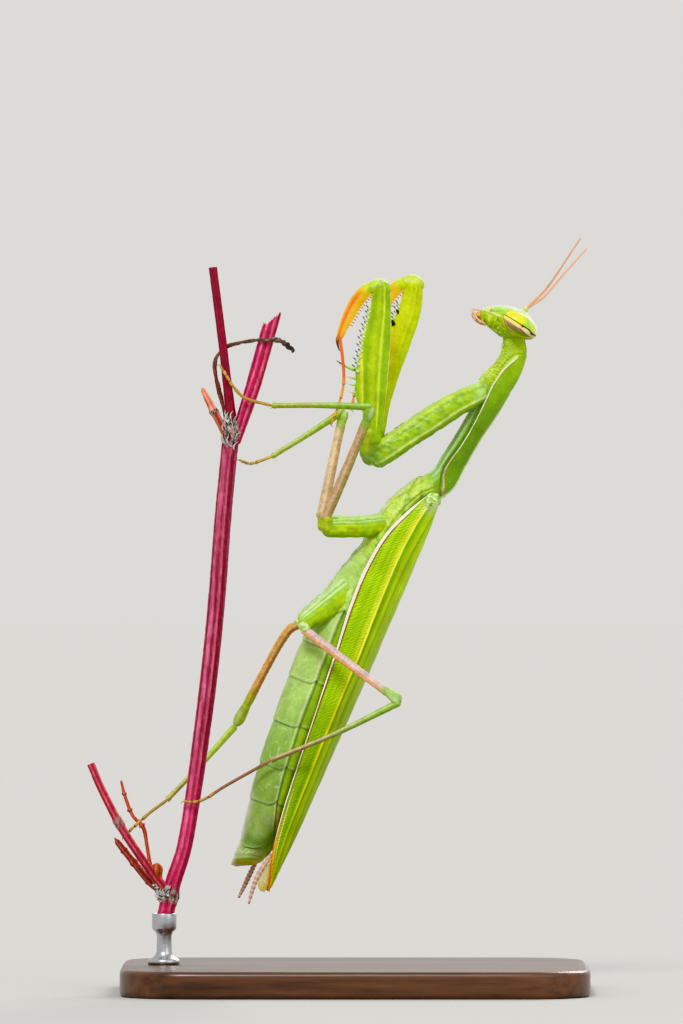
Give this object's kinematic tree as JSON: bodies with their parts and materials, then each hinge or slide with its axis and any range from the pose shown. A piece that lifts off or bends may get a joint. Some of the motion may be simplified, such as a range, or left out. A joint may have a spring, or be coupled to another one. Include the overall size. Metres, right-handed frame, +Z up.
{
  "type": "praying mantis",
  "caption": "Slender green mantis with raised, spined fore legs, clinging head up to a reddish stem on a small display stand.",
  "frame": {"origin": "middle of the underside of the stand's base", "axes": "+Z up, +X from the stem towards the animal's back, -Y on the side of its left legs"},
  "size_m": [0.0558, 0.04, 0.0837],
  "materials": {
    "thorax": "satin cuticle",
    "abdomen": "satin cuticle",
    "head": "satin cuticle",
    "eye": "glossy",
    "mouthparts": "satin cuticle",
    "feeler": "matte",
    "forewing": "satin, leathery",
    "hindwing": "satin",
    "fore_leg": "satin cuticle",
    "fore_tibia": "satin cuticle",
    "fore_foot": "satin cuticle",
    "walking_coxa": "satin cuticle",
    "walking_femur": "satin cuticle",
    "walking_tibia": "satin cuticle",
    "walking_foot": "satin cuticle",
    "stem": "smooth reddish bark",
    "cut_shoot": "smooth bark with a broken end",
    "tendril": "dry and rough",
    "base": "dark satin varnish",
    "rod": "brushed"
  },
  "bodies": {
    "root": {"prothorax": "thorax", "mesothorax": "thorax", "metathorax": "thorax", "abdomen_1": "abdomen", "abdomen_2": "abdomen", "abdomen_3": "abdomen", "abdomen_4": "abdomen", "abdomen_5": "abdomen", "abdomen_6": "abdomen", "abdomen_7": "abdomen", "head": "head", "eye_left": "eye", "eye_right": "eye", "neck": "thorax", "mouthparts": "mouthparts", "antenna_left": "feeler", "antenna_right": "feeler", "forewing_left": "forewing", "forewing_right": "forewing", "hindwing_left": "hindwing", "hindwing_right": "hindwing", "fore_coxa_left": "fore_leg", "fore_trochanter_left": "fore_leg", "fore_femur_left": "fore_leg", "fore_tibia_left": "fore_tibia", "fore_tarsus_left": "fore_foot", "middle_coxa_left": "walking_coxa", "middle_femur_left": "walking_femur", "middle_tibia_left": "walking_tibia", "middle_tarsus_left": "walking_foot", "hind_coxa_left": "walking_coxa", "hind_femur_left": "walking_femur", "hind_tibia_left": "walking_tibia", "hind_tarsus_left": "walking_foot", "fore_coxa_right": "fore_leg", "fore_trochanter_right": "fore_leg", "fore_femur_right": "fore_leg", "fore_tibia_right": "fore_tibia", "fore_tarsus_right": "fore_foot", "middle_coxa_right": "walking_coxa", "middle_femur_right": "walking_femur", "middle_tibia_right": "walking_tibia", "middle_tarsus_right": "walking_foot", "hind_coxa_right": "walking_coxa", "hind_femur_right": "walking_femur", "hind_tibia_right": "walking_tibia", "hind_tarsus_right": "walking_foot", "cercus_left": "feeler", "cercus_right": "feeler", "stem_main": "stem", "stem_shoot": "stem", "stem_stub": "cut_shoot", "stem_bud": "cut_shoot", "stem_branch": "stem", "stem_twig": "stem", "stem_tendril": "tendril", "stand_base": "base", "stand_rod": "rod"}
  },
  "joints": []
}
